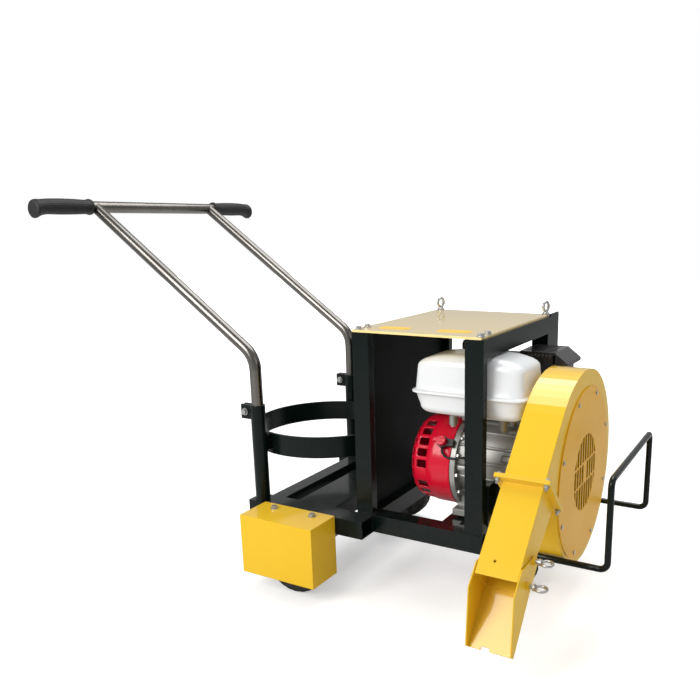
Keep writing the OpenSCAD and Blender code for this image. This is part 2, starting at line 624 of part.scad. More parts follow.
// Cylinder and head with cooling fins, leaning to the far side
module cylinder_node() color(castgrey) place() translate([cyl_x, 0, 0]) lean_to() difference() {
    union() {
        translate([-36, -44, 96]) cube([72, 88, 96]);
        for (k = [0 : 7]) translate([-46, -58, 100 + 11 * k]) cube([92, 116, 4.5]);
    }
    translate([0, 0, 90]) cylinder(d = bore_d, h = 80);
}
module valve_cover() color(castgrey) place() translate([cyl_x, 0, 0]) lean_to() {
    translate([-36, -34, 192]) cube([72, 68, 5]);
    translate([0, 0, 197]) linear_extrude(16) offset(r = 10, $fn = 24) square([44, 40], center = true);
}
module blower_housing() color(red) place() difference() {
    union() {
        translate([0, 0, drum_z]) along_x(drum_x0 + 30, drum_r, case_x0 - drum_x0 - 30.3);
        translate([drum_x0, 0, drum_z]) rotate([0, 90, 0]) cylinder(r1 = drum_r - 18, r2 = drum_r, h = 30);
        box(drum_x0 + 50, case_x0 - 0.3, 0, 118, crank_z - 20, crank_z + 92);
    }
    translate([0, 0, drum_z]) along_x(drum_x0 + 30, drum_r - 3, 100);
    translate([drum_x0 + 3, 0, drum_z]) rotate([0, 90, 0]) cylinder(r1 = drum_r - 21, r2 = drum_r - 3, h = 28);
    box(drum_x0 + 53, case_x0 + 5, 0, 115, crank_z - 17, crank_z + 89);
    translate([0, 0, drum_z]) for (k = [0 : 17]) rotate([20 * k, 0, 0]) {
        translate([drum_x0 - e, -6, drum_r - 50]) cube([8, 12, 24]);
        translate([drum_x0 + 8, -6, drum_r - 18]) cube([16, 12, 24]);
    }
}
module starter_grip() color(rubber) place() translate([drum_x0 + 24, 102, crank_z + 56])
    rotate([-62, 0, 0]) {
        translate([-24, -9, 0]) cube([48, 18, 14]);
        translate([0, 0, -8]) cylinder(d = 14, h = 9);
    }
// Plan of the tank: a rectangle with round corners, drawn in by a margin
tank_cx = (tank_x0 + tank_x1) / 2;
tank_cy = (tank_y0 + tank_y1) / 2;
module tank_plan(margin, r) {
    offset(r = r) square([tank_x1 - tank_x0 - 2 * (margin + r), tank_y1 - tank_y0 - 2 * (margin + r)],
                         center = true);
}
module tank_slab(z, margin, r, h) { translate([tank_cx, tank_cy, z]) linear_extrude(h) tank_plan(margin, r); }
cap_x = 350;
cap_y = -52;
module fuel_tank() color(white) place() {
    difference() {
        union() {
            hull() {
                tank_slab(tank_z0, 24, 22, 2);
                tank_slab(tank_z0 + 16, 9, 34, 2);
                tank_slab(seam_z - 3, 5, 36, 3);
            }
            tank_slab(seam_z, 0, 38, 4);
            hull() {
                tank_slab(seam_z + 4, 5, 36, 2);
                tank_slab(seam_z + 46, 9, 36, 2);
                tank_slab(tank_z1 - 12, 20, 34, 2);
                tank_slab(tank_z1 - 2, 42, 24, 2);
            }
        }
        box(tank_x0 + 32, tank_x1 - 32, tank_y0 + 32, tank_y1 - 32, tank_z0 + 5, tank_z1 - 8);
    }
    translate([cap_x, cap_y, tank_z1]) cylinder(d = 40, h = 4);
}
module fuel_cap() color(rubber) place() translate([cap_x, cap_y, tank_z1 + 4.4]) {
    cylinder(d = 56, h = 12);
    translate([-27, -4, 12]) cube([54, 8, 4]);
}
module tank_bosses() color(castgrey) place() for (x = boss_x, y = [-90, -30]) translate([x, y, tank_z0 - boss_l]) {
    cylinder(d = 18, h = boss_l);
    translate([0, 0, -5]) cylinder(d = 13, h = 5, $fn = 6);
}
module muffler() color(castgrey) place() {
    box(412, 474, 84, 168, 440, 520);
    translate([450, 126, 426]) cylinder(d = 28, h = 14);
}
module muffler_shield() color(rubber) place() difference() {
    union() {
        hull() {
            box(404, 484, 74, 178, 501, 531);
            box(404, 514, 74, 178, 501, 508);
        }
        box(404, 498, 74, 178, 440, 503);
    }
    hull() {
        box(406, 482, 76, 176, 503, 529);
        box(406, 512, 76, 176, 503, 507);
    }
    box(406, 496, 76, 176, 430, 505);
    for (k = [0 : 8]) box(412 + 8.5 * k, 417 + 8.5 * k, 73, 79, 506, 526);
    for (k = [0 : 6]) box(412, 476, 86 + 13 * k, 92 + 13 * k, 524, 540);
}
module air_cleaner() color(rubber) place() {
    translate([346, 122, 446]) linear_extrude(58) offset(r = 12, $fn = 24) square([70, 84], center = true);
    translate([346, 122, 504]) linear_extrude(8) offset(r = 8, $fn = 24) square([70, 84], center = true);
    translate([346, 122, 512]) cylinder(d = 20, h = 8, $fn = 6);
}
module carburettor() color(castgrey) place() {
    translate([326, 112, 410]) cylinder(d = 34, h = 36);
    translate([326, 112, 388]) cylinder(d = 42, h = 22);
}
module throttle_lever() color(zinc) place() translate([296, 66, 388]) {
    cylinder(d = 20, h = 4);
    translate([-4, -30, 0]) cube([8, 30, 3]);
}
module choke_lever() color(rubber) place() translate([320, 182, 420]) rotate([-90, 0, 0]) {
    cylinder(d = 14, h = 6);
    translate([-3, 0, 0]) cube([6, 30, 5]);
}
module fuel_lever() color(rubber) place() translate([322, 140, 400]) rotate([-90, 0, 0]) {
    cylinder(d = 14, h = 8);
    translate([-28, -4, 0]) cube([28, 8, 6]);
}
// Frame of the stop switch: it stands square on the near flank of the blower housing
module at_switch(lift) translate([switch_x, 0, drum_z]) rotate([-switch_lean, 0, 0])
    translate([0, -drum_r - lift, 0]) rotate([90, 0, 0]) children();
module switch_body() color(rubber) place() at_switch(0.2) {
    cylinder(d = 26, h = 11);
    translate([9, -8, 0]) cube([17, 16, 11]);
}
module switch_knob() color(red) place() at_switch(11.6) {
    cylinder(d = 21, h = 9);
    translate([-18, -4, 0]) cube([30, 8, 11]);
}
module oil_cap() color(rubber) place() translate([370, -78, engine_z + 62]) rotate([68, 0, 0]) {
    translate([0, 0, 24.2]) cylinder(d = 34, h = 9);
    translate([-14, -3, 33]) cube([28, 6, 7]);
}
module spark_plug() color(rubber) place() translate([cyl_x, 0, 0]) lean_to()
    translate([48, -20, 165]) rotate([0, 90, 0]) { cylinder(d = 20, h = 26); translate([0, 0, 20]) cylinder(d = 24, h = 12); }
module crankshaft() color(zinc) place() translate([0, 0, crank_z]) {
    along_x(drum_x0 + 44, crank_d / 2, 229);
    along_x(drum_x0 + 60, flywheel_r, 14);
    along_x(drum_x0 + 36, 40, 8);
    along_x(360, 60, 12);
    along_x(400, 60, 12);
    along_x(case_x1 - 2, 9.5, 80);
}

subframe();
handle_sockets();
clamp_bolts();
tank_hoop();
cage_frame();
rear_panel();
top_plate();
plate_bolts();
lifting_eyes();
near_wheel_guard();
guard_bolts();
rear_axle();
axle_retainers();
near_tyre();
near_hub();
far_tyre();
far_hub();
caster_plate();
caster_bolts();
caster_fork();
caster_tyre();
caster_hub();
caster_axle();
guard_rod();
volute_brackets();
volute_shell();
fan_cover();
cover_screws();
impeller();
impeller_bolt();
flange_bolts();
chute();
scoop();
upper_eye_screw();
lower_eye_screw();
handle_bar();
near_grip();
far_grip();
crankcase();
fan_adapter();
cylinder_node();  // cylinder
valve_cover();
blower_housing();
starter_grip();
fuel_tank();
fuel_cap();
tank_bosses();
muffler();
muffler_shield();
air_cleaner();
carburettor();
throttle_lever();
choke_lever();
fuel_lever();
switch_body();
switch_knob();
oil_cap();
spark_plug();
crankshaft();
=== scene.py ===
import math
import bmesh
import bpy
import numpy as np
from mathutils import Matrix, Vector


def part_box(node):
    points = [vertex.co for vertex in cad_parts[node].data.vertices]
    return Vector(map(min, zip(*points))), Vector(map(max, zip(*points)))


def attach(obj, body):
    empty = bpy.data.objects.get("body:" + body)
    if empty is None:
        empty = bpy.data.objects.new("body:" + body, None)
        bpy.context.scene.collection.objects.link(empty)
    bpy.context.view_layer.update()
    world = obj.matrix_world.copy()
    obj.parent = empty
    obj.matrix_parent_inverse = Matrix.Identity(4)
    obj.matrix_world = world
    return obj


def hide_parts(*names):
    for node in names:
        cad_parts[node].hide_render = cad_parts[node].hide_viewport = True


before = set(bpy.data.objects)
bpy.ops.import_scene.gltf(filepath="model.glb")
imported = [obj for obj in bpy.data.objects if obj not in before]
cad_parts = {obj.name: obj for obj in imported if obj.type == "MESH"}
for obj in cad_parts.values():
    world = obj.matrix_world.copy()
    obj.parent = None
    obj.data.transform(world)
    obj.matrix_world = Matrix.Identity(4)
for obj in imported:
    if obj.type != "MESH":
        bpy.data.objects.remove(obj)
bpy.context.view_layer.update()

# ---- Viewpoint, floor and studio light ----
# The pavement blower stands on a pale, slightly glossy studio floor. It is seen from its near front
# corner at chest height, under one large soft light from the left and a weaker one from the right.
EYE = Vector((0.9490, -1.4374, 0.8083))
YAW, PITCH, ROLL = math.radians(29.227), math.radians(-13.045), math.radians(-0.931)


def eye_axes(yaw, pitch, roll):
    """Right, up and forward of the camera: forward is yawed from +Y and pitched from the horizon, right stays
    level, up completes them, and right and up then turn together by the roll."""
    forward = Vector((-math.sin(yaw) * math.cos(pitch), math.cos(yaw) * math.cos(pitch), math.sin(pitch)))
    right = Vector((math.cos(yaw), math.sin(yaw), 0))
    up = right.cross(forward)
    c, s = math.cos(roll), math.sin(roll)
    return c * right + s * up, c * up - s * right, forward


right, up, forward = eye_axes(YAW, PITCH, ROLL)
camera = bpy.data.objects.new("camera", bpy.data.cameras.new("camera"))
bpy.context.scene.collection.objects.link(camera)
camera.matrix_world = Matrix.Translation(EYE) @ Matrix([right, up, -forward]).transposed().to_4x4()
camera.data.sensor_width = 36
camera.data.lens = 37.50
camera.data.shift_x = -0.0780
camera.data.shift_y = 0.0640
camera.data.clip_start = 0.01
bpy.context.scene.camera = camera
bpy.context.scene.view_settings.view_transform = "Standard"


def softbox(name, place, target, size, power, tint):
    """A square area light at place, turned so that it faces target."""
    light = bpy.data.lights.new(name, "AREA")
    light.size, light.energy, light.color = size, power, tint
    box = bpy.data.objects.new(name, light)
    bpy.context.scene.collection.objects.link(box)
    aim = (Vector(target) - Vector(place)).to_track_quat("-Z", "Y")
    box.matrix_world = Matrix.Translation(place) @ aim.to_matrix().to_4x4()


softbox("key", (-0.9, -2.7, 2.1), (0.1, 0.0, 0.35), 1.7, 78, (1.0, 0.99, 0.97))
softbox("overhead", (0.2, 0.9, 2.9), (0.1, 0.0, 0.4), 2.2, 60, (1.0, 1.0, 1.0))
softbox("front", (2.6, -0.2, 1.5), (0.3, 0.0, 0.3), 1.0, 4, (1.0, 0.98, 0.95))

world = bpy.data.worlds.new("studio")
world.use_nodes = True
bpy.context.scene.world = world
sky, seen = world.node_tree.nodes["Background"], world.node_tree.nodes.new("ShaderNodeLightPath")
level = world.node_tree.nodes.new("ShaderNodeMapRange")
level.inputs["To Min"].default_value, level.inputs["To Max"].default_value = 0.42, 1.0
world.node_tree.links.new(seen.outputs["Is Camera Ray"], level.inputs["Value"])
world.node_tree.links.new(level.outputs["Result"], sky.inputs["Strength"])
sky.inputs["Color"].default_value = (1.0, 1.0, 1.0, 1)


def node(tree, kind, **settings):
    """Adds a node, and sets its properties and input sockets by name, a _ standing for a space in a socket."""
    made = tree.nodes.new(kind)
    for name, value in settings.items():
        if hasattr(made, name):
            setattr(made, name, value)
        else:
            made.inputs[name.replace("_", " ")].default_value = value
    return made


def arithmetic(tree, operation, first, second=None, clamp=False):
    """A math node on two sockets or numbers; gives its output socket."""
    made = tree.nodes.new("ShaderNodeMath")
    made.operation, made.use_clamp = operation, clamp
    for socket, value in zip(made.inputs, (first, second)):
        if isinstance(value, (int, float)):
            socket.default_value = value
        elif value is not None:
            tree.links.new(value, socket)
    return made.outputs[0]


FLOOR_HALF, GLOW_NEAR, GLOW_FAR = 9, 0.42, 1.4
floor_mesh = bpy.data.meshes.new("floor")
floor_mesh.from_pydata([(-FLOOR_HALF, -FLOOR_HALF, 0), (FLOOR_HALF, -FLOOR_HALF, 0),
                        (FLOOR_HALF, FLOOR_HALF, 0), (-FLOOR_HALF, FLOOR_HALF, 0)], [], [(0, 1, 2, 3)])
floor = bpy.data.objects.new("floor", floor_mesh)
bpy.context.scene.collection.objects.link(floor)
floor_paint = bpy.data.materials.new("pale_floor")
floor_paint.use_nodes = True
floor_tree = floor_paint.node_tree
gloss = floor_tree.nodes["Principled BSDF"]
gloss.inputs["Base Color"].default_value = (0.88, 0.88, 0.88, 1)
gloss.inputs["Roughness"].default_value = 0.16
gloss.inputs["Specular IOR Level"].default_value = 0.35
gloss.inputs["Emission Color"].default_value = (1, 1, 1, 1)
glow = node(floor_tree, "ShaderNodeMapRange", From_Min=1.3, From_Max=3.2, To_Min=GLOW_NEAR, To_Max=GLOW_FAR)
reach_out = node(floor_tree, "ShaderNodeVectorMath", operation="LENGTH")
floor_tree.links.new(node(floor_tree, "ShaderNodeTexCoord").outputs["Object"], reach_out.inputs[0])
floor_tree.links.new(reach_out.outputs["Value"], glow.inputs["Value"])
seen_glow = arithmetic(floor_tree, "MULTIPLY", glow.outputs["Result"],
                       node(floor_tree, "ShaderNodeLightPath").outputs["Is Camera Ray"])
floor_tree.links.new(seen_glow, gloss.inputs["Emission Strength"])
floor_mesh.materials.append(floor_paint)

# ---- Welded frame ----
# Square and flat steel tube, cut and arc-welded into a low trolley and an upright cage round the engine, with
# a ring for a fuel can, sockets for the handle and a bent guard rod. Sprayed in a glossy green-black.


def shade(red, green, blue):
    """A display colour from 0 to 255 as the linear colour that a shader takes."""
    c = np.array([red, green, blue]) / 255
    return (*np.where(c <= 0.04045, c / 12.92, ((c + 0.055) / 1.055) ** 2.4).tolist(), 1)


def effect(name, sizes, results):
    """An empty shader group with named float inputs, their usual values, and outputs of the given kinds."""
    tree = bpy.data.node_groups.new(name, "ShaderNodeTree")
    for label, value in sizes.items():
        tree.interface.new_socket(label, in_out="INPUT", socket_type="NodeSocketFloat").default_value = value
    for label, kind in results.items():
        tree.interface.new_socket(label, in_out="OUTPUT", socket_type="NodeSocket" + kind)
    return tree, tree.nodes.new("NodeGroupInput"), tree.nodes.new("NodeGroupOutput")


def blended(tree, share, first, second):
    """Mixes two colours, sockets or values, by a share; gives the colour socket."""
    made = tree.nodes.new("ShaderNodeMix")
    made.data_type = "RGBA"
    for socket, value in ((made.inputs[0], share), (made.inputs[6], first), (made.inputs[7], second)):
        if isinstance(value, (int, float, tuple)):
            socket.default_value = value
        else:
            tree.links.new(value, socket)
    return made.outputs[2]


def make_rounded_edges():
    """Edges look folded or filed to a radius: the normal is rounded near them, and the mask shows how far that
    normal leans away from the face."""
    tree, given, out = effect("rounded_edges", {"Radius": 0.0015}, {"Normal": "Vector", "Edge": "Float"})
    rounded = node(tree, "ShaderNodeBevel", samples=6)
    tree.links.new(given.outputs["Radius"], rounded.inputs["Radius"])
    flat = tree.nodes.new("ShaderNodeNewGeometry")
    lean = node(tree, "ShaderNodeVectorMath", operation="DOT_PRODUCT")
    tree.links.new(rounded.outputs[0], lean.inputs[0])
    tree.links.new(flat.outputs["Normal"], lean.inputs[1])
    edge = arithmetic(tree, "MULTIPLY", arithmetic(tree, "SUBTRACT", 1.0, lean.outputs["Value"]), 5.0, True)
    tree.links.new(rounded.outputs[0], out.inputs["Normal"])
    tree.links.new(edge, out.inputs["Edge"])
    return tree


def make_mottle():
    """Broad and fine cloudiness of a sprayed, cast or moulded surface: two noises in the piece's own place."""
    tree, given, out = effect("mottle", {"Scale": 9.0, "Fine Scale": 160.0},
                              {"Broad": "Float", "Fine": "Float"})
    place = tree.nodes.new("ShaderNodeTexCoord")
    for label, result, detail in (("Scale", "Broad", 4), ("Fine Scale", "Fine", 3)):
        cloud = node(tree, "ShaderNodeTexNoise", Detail=detail)
        tree.links.new(place.outputs["Object"], cloud.inputs["Vector"])
        tree.links.new(given.outputs[label], cloud.inputs["Scale"])
        tree.links.new(cloud.outputs[0], out.inputs[result])
    return tree


def make_road_dust():
    """Pale dust that settles on faces that look up, more of it low down, broken up by a noise. The upward mask
    is how far the face looks up, from 0 to 1."""
    tree, given, out = effect("road_dust", {"Amount": 0.3, "Reach": 0.45}, {"Dust": "Float", "Upward": "Float"})
    place, face = tree.nodes.new("ShaderNodeTexCoord"), tree.nodes.new("ShaderNodeNewGeometry")
    spot, facing = tree.nodes.new("ShaderNodeSeparateXYZ"), tree.nodes.new("ShaderNodeSeparateXYZ")
    tree.links.new(place.outputs["Object"], spot.inputs[0])
    tree.links.new(face.outputs["Normal"], facing.inputs[0])
    cloud = node(tree, "ShaderNodeTexNoise", Scale=38.0, Detail=6.0, Roughness=0.7)
    tree.links.new(place.outputs["Object"], cloud.inputs["Vector"])
    height = arithmetic(tree, "DIVIDE", spot.outputs["Z"], given.outputs["Reach"])
    low = arithmetic(tree, "SUBTRACT", 1.0, height, True)
    upward = arithmetic(tree, "ADD", arithmetic(tree, "MULTIPLY", facing.outputs["Z"], 0.6), 0.25, True)
    ragged = arithmetic(tree, "MULTIPLY", arithmetic(tree, "SUBTRACT", cloud.outputs[0], 0.38, True), 3.0, True)
    mask = arithmetic(tree, "MULTIPLY", arithmetic(tree, "MULTIPLY", low, upward), ragged)
    tree.links.new(arithmetic(tree, "MULTIPLY", mask, given.outputs["Amount"], True), out.inputs["Dust"])
    tree.links.new(arithmetic(tree, "ADD", 0.0, facing.outputs["Z"], True), out.inputs["Upward"])
    return tree


rounded_edges, mottle, road_dust = make_rounded_edges(), make_mottle(), make_road_dust()
DUST = shade(176, 168, 152)


def placed(tree, group, **sizes):
    """Puts an effect group into a material with this material's own values."""
    made = node(tree, "ShaderNodeGroup", node_tree=group)
    for label, value in sizes.items():
        made.inputs[label.replace("_", " ")].default_value = value
    return made


def finish(name, colour, deep, worn=None, wear=0.0, rough=0.35, spread=0.1, metal=0.0, edge=0.0012,
           scale=9.0, fine=160.0, grain=0.0, dust=0.2, top_gloss=0.0, specular=0.5):
    """One opaque finish. Its colour drifts between two shades with the broad mottle, shows the worn colour
    where edges are rubbed, and is dusted low down. Roughness drifts by spread, the fine mottle
    lifts the surface by grain metres, and rain-washed faces that look up take a clear gloss."""
    material = bpy.data.materials.new(name)
    material.use_nodes = True
    tree = material.node_tree
    surface = tree.nodes["Principled BSDF"]
    corners = placed(tree, rounded_edges, Radius=edge)
    clouds = placed(tree, mottle, Scale=scale, Fine_Scale=fine)
    settled = placed(tree, road_dust, Amount=dust)
    tone = blended(tree, clouds.outputs["Broad"], colour, deep)
    if worn:
        rubbed = arithmetic(tree, "SUBTRACT", clouds.outputs["Fine"], 1.0 - wear, True)
        patchy = arithmetic(tree, "MULTIPLY", corners.outputs["Edge"],
                            arithmetic(tree, "MULTIPLY", rubbed, 6.0, True), True)
        tone = blended(tree, patchy, tone, worn)
    tree.links.new(blended(tree, settled.outputs["Dust"], tone, DUST), surface.inputs["Base Color"])
    dull = arithmetic(tree, "ADD", rough - spread / 2,
                      arithmetic(tree, "MULTIPLY", clouds.outputs["Broad"], spread))
    dull = arithmetic(tree, "ADD", dull, arithmetic(tree, "MULTIPLY", settled.outputs["Dust"], 0.5), True)
    tree.links.new(dull, surface.inputs["Roughness"])
    surface.inputs["Metallic"].default_value = metal
    if top_gloss:
        tree.links.new(arithmetic(tree, "MULTIPLY", settled.outputs["Upward"], top_gloss),
                       surface.inputs["Coat Weight"])
        surface.inputs["Coat Roughness"].default_value = 0.08
    surface.inputs["Specular IOR Level"].default_value = specular
    if grain:
        relief = node(tree, "ShaderNodeBump", Distance=grain, Strength=1.0)
        tree.links.new(clouds.outputs["Fine"], relief.inputs["Height"])
        tree.links.new(corners.outputs["Normal"], relief.inputs["Normal"])
        tree.links.new(relief.outputs["Normal"], surface.inputs["Normal"])
    else:
        tree.links.new(corners.outputs["Normal"], surface.inputs["Normal"])
    return material


def give(material, *names):
    """Gives CAD nodes, which keep their own meshes, a finish in place of their plain one."""
    for name in names:
        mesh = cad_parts[name].data
        mesh.materials.clear()
        mesh.materials.append(material)


frame_paint = finish("frame_paint", shade(12, 24, 22), shade(7, 15, 14), worn=shade(76, 86, 83), wear=0.42,
                     rough=0.24, spread=0.12, grain=0.00006, fine=420.0, dust=0.06, top_gloss=0.5, edge=0.0016,
                     specular=0.16)
give(frame_paint, "subframe", "handle_sockets", "tank_hoop", "cage_frame", "guard_rod", "volute_brackets")
panel_paint = finish("panel_paint", shade(9, 19, 17), shade(5, 11, 10), worn=shade(66, 74, 72), wear=0.38,
                     rough=0.5, spread=0.12, grain=0.00004, fine=300.0, dust=0.04, edge=0.001, specular=0.06)
give(panel_paint, "rear_panel")


def ring_path(path, radius, sides, side_way):
    """Rings round a path: each is a circle of the radius given for its point, square to the path there, and
    side_way is any direction that the path never follows."""
    path = np.asarray(path, float)
    ahead = np.gradient(path, axis=0)
    ahead /= np.linalg.norm(ahead, axis=1, keepdims=True)
    out = np.cross(ahead, side_way)
    out /= np.linalg.norm(out, axis=1, keepdims=True)
    over = np.cross(ahead, out)
    turn = np.linspace(0, 2 * math.pi, sides, endpoint=False)[None, :, None]
    reach = np.broadcast_to(radius, len(path))[:, None, None]
    return path[:, None] + reach * (np.cos(turn) * out[:, None] + np.sin(turn) * over[:, None])


def skin(rings, joined=False):
    """Four-sided faces between each ring and the next; the first and last ring are closed with one face each,
    unless the rings are joined in a loop."""
    count, around = rings.shape[:2]
    i, j = np.meshgrid(np.arange(count if joined else count - 1), np.arange(around), indexing="ij")
    i_next, j_next = (i + 1) % count, (j + 1) % around
    faces = np.stack([i * around + j, i * around + j_next, i_next * around + j_next, i_next * around + j], -1)
    ends = [] if joined else [list(range(around)), list(range((count - 1) * around, count * around))]
    return rings.reshape(-1, 3), faces.reshape(-1, 4).tolist() + ends


def piece(name, shells, material, body, stands_for=(), sharp=35):
    """Joins closed shells into one mesh, turns their faces outwards, shades them smooth up to the sharp angle,
    and gives the piece its finish and body."""
    corners, faces, start = [], [], 0
    for points, sides in shells:
        corners.append(points)
        faces += [[v + start for v in face] for face in sides]
        start += len(points)
    mesh = bpy.data.meshes.new(name)
    mesh.from_pydata(np.concatenate(corners).tolist(), [], faces)
    shell = bmesh.new()
    shell.from_mesh(mesh)
    bmesh.ops.recalc_face_normals(shell, faces=shell.faces)
    shell.to_mesh(mesh)
    shell.free()
    mesh.polygons.foreach_set("use_smooth", np.ones(len(mesh.polygons), bool))
    mesh.set_sharp_from_angle(angle=math.radians(sharp))
    mesh.materials.append(material)
    made = bpy.data.objects.new(name, mesh)
    bpy.context.scene.collection.objects.link(made)
    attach(made, body)
    if stands_for:
        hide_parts(*stands_for)
    return made


def bead(start, end, size, side_way):
    """A weld bead: a thin tube from start to end whose radius swells and sinks once for each drop of weld, and
    tapers away at its two ends."""
    start, end = np.asarray(start, float), np.asarray(end, float)
    length = np.linalg.norm(end - start)
    along = np.linspace(0, 1, max(8, int(length / 0.0009)))
    ripple = 1 + 0.16 * np.sin(along * length / 0.0034 * 2 * math.pi)
    taper = np.clip(np.minimum(along, 1 - along) * length / 0.003, 0.25, 1)
    return skin(ring_path(start + along[:, None] * (end - start), size * ripple * taper, 6, side_way))


cage_lo, cage_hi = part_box("cage_frame")
plate_lo, plate_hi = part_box("top_plate")
POST_X, POST_Y, RAIL_H, WELD = 0.040, 0.020, 0.040, 0.0021
deck = cage_lo.z + RAIL_H
cage_far = plate_hi.y
beads = []
for x0 in (cage_lo.x, cage_hi.x - POST_X):
    for y0, outer in ((cage_lo.y, cage_lo.y), (cage_far - POST_Y, cage_far)):
        inner = y0 + POST_Y if outer == y0 else y0
        for y in (outer, inner):
            beads.append(bead((x0 + 0.003, y, deck), (x0 + POST_X - 0.003, y, deck), WELD, (0, 1, 0)))
        for x in (x0, x0 + POST_X):
            beads.append(bead((x, y0 + 0.003, deck), (x, y0 + POST_Y - 0.003, deck), WELD, (1, 0, 0)))
rail_low = plate_lo.z - RAIL_H
for x in (cage_lo.x + 0.020, cage_hi.x - 0.020):
    for y, step in ((cage_lo.y + POST_Y, 1), (cage_far - POST_Y, -1)):
        beads.append(bead((x, y, rail_low + 0.004), (x, y, plate_lo.z - 0.004), WELD, (1, 0, 0)))
for x in (cage_lo.x, cage_lo.x + POST_X):
    beads.append(bead((x, cage_lo.y + 0.004, deck), (x, cage_lo.y + 0.030, deck), WELD, (1, 0, 0)))
piece("weld_beads", beads, frame_paint, "chassis")

# ---- Sheet-metal panels ----
# The top plate, the boxes over the rear wheels and the label fields on the plate. Folded 2 to 5 mm steel
# sheet with tight outside bends, powder-coated a warm yellow and bolted down.
yellow_paint = finish("yellow_paint", shade(238, 195, 40), shade(231, 183, 30), worn=shade(206, 184, 124),
                      wear=0.42, rough=0.30, spread=0.10, grain=0.00003, fine=420.0, dust=0.06, top_gloss=1.0,
                      edge=0.0022, specular=0.22)
give(yellow_paint, "near_wheel_guard")
# The top plate's colour is the yellow paint paled towards cream: a painted reflection of the white backdrop
# glancing off its upper face.
plate_paint_painted_reflection = finish("plate_paint_painted_reflection", shade(255, 233, 180), shade(252, 218, 122), worn=shade(214, 196, 150),
                     wear=0.46, rough=0.12, spread=0.08, scale=3.5, grain=0.00003, fine=300.0, dust=0.1,
                     top_gloss=1.0, edge=0.0012, specular=0.8)
give(plate_paint_painted_reflection, "top_plate")
label_film = finish("label_film", shade(252, 200, 30), shade(246, 190, 24), rough=0.3, spread=0.05, dust=0.0,
                    edge=0.0002)


LABEL_SIDES = 48


def label(x, y, width, depth, turned):
    """A blank film label: a thin slab whose plan is a rounded rectangle, a superellipse, turned on the
    plate."""
    turn = np.linspace(0, 2 * math.pi, LABEL_SIDES, endpoint=False)
    c, s = np.cos(turn), np.sin(turn)
    across, along = width / 2 * np.sign(c) * np.abs(c) ** 0.3, depth / 2 * np.sign(s) * np.abs(s) ** 0.3
    plan = np.stack([x + across * math.cos(turned) - along * math.sin(turned),
                     y + across * math.sin(turned) + along * math.cos(turned)], -1)
    levels = [np.column_stack([plan, np.full(LABEL_SIDES, plate_hi.z + lift)]) for lift in (0.00005, 0.0003)]
    return skin(np.array(levels))


piece("plate_labels", [label(plate_lo.x + 0.075, plate_lo.y + 0.055, 0.070, 0.034, 0.05),
                       label(plate_hi.x - 0.085, plate_lo.y + 0.060, 0.074, 0.034, 0.05)],
      label_film, "chassis")

# ---- Bolts, eyes, axles and other plated hardware ----
# Hexagon bolts, nuts, washers, eye bolts and turned axles of mild steel. They are zinc-plated, which leaves a
# cool grey that is brighter on rubbed corners.
zinc_plate = finish("zinc_plate", shade(196, 196, 194), shade(150, 152, 152), worn=shade(228, 228, 224),
                    wear=0.6, rough=0.34, spread=0.2, metal=0.9, grain=0.00004, fine=900.0, dust=0.25, edge=0.0007)
give(zinc_plate, "clamp_bolts", "plate_bolts", "lifting_eyes", "guard_bolts", "rear_axle", "axle_retainers",
     "caster_plate", "caster_bolts", "caster_fork", "caster_axle", "cover_screws", "impeller_bolt",
     "flange_bolts", "upper_eye_screw", "lower_eye_screw", "crankshaft", "throttle_lever")

# ---- Wheels ----
# Two solid rubber wheels on the fixed rear axle and one on the swivelling front caster. The tyres are moulded
# with square shoulders and a shallow cross-cut tread, and are pressed onto cast hubs.
tyre_rubber = finish("tyre_rubber", shade(34, 34, 35), shade(22, 22, 23), rough=0.72, spread=0.14, dust=0.85,
                     grain=0.00025, fine=300.0, edge=0.001, specular=0.35)
hub_cast = finish("hub_cast", shade(150, 150, 146), shade(118, 118, 114), rough=0.5, spread=0.2, metal=0.55,
                  grain=0.0002, fine=240.0, dust=0.6)
give(hub_cast, "near_hub", "far_hub", "caster_hub")


def tyre(node_name, rim_share, blocks):
    """A tyre turned about its axle: the section runs up one wall, over a rounded shoulder and across a slightly
    crowned tread. The tread's radius drops by a groove depth in slots across it and in one slot round it."""
    lo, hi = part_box(node_name)
    centre, radius, half = (lo + hi) / 2, (hi.z - lo.z) / 2, (hi.y - lo.y) / 2
    turn = np.linspace(0, 2 * math.pi, blocks * 8, endpoint=False)
    bend = np.linspace(0, math.pi / 2, 7)
    shoulder = 0.16 * radius
    rise = np.concatenate([[rim_share * radius, 0.7 * radius], radius - shoulder * (1 - np.sin(bend))])
    out = np.concatenate([[half * 0.96, half], half - shoulder * (1 - np.cos(bend)) * 0.7])
    flat = np.linspace(out[-1], 0.0025, 6)[1:]
    rise = np.concatenate([rise, np.full(len(flat), radius)])
    out = np.concatenate([out, flat])
    rise, out = np.concatenate([rise, [radius - 0.0022], rise[::-1]]), np.concatenate([out, [0], -out[::-1]])
    on_tread = np.clip((rise - radius * 0.955) / (radius * 0.045), 0, 1)
    slot = 1 / (1 + np.exp(-9 * (np.cos(turn * blocks + np.sign(out)[:, None] * 1.1) - 0.72)))
    reach = rise[:, None] - 0.0026 * slot * on_tread[:, None]
    rings = np.stack([centre.x + reach * np.cos(turn), centre.y + np.broadcast_to(out[:, None], reach.shape),
                      centre.z + reach * np.sin(turn)], -1)
    return skin(rings, joined=True)


TREAD_BLOCKS = 26
for tyre_name, body, share in (("near_tyre", "near_wheel", 0.65), ("far_tyre", "far_wheel", 0.65),
                               ("caster_tyre", "caster_wheel", 0.68)):
    piece(tyre_name + "_tread", [tyre(tyre_name, share, TREAD_BLOCKS)], tyre_rubber, body,
          (tyre_name,))
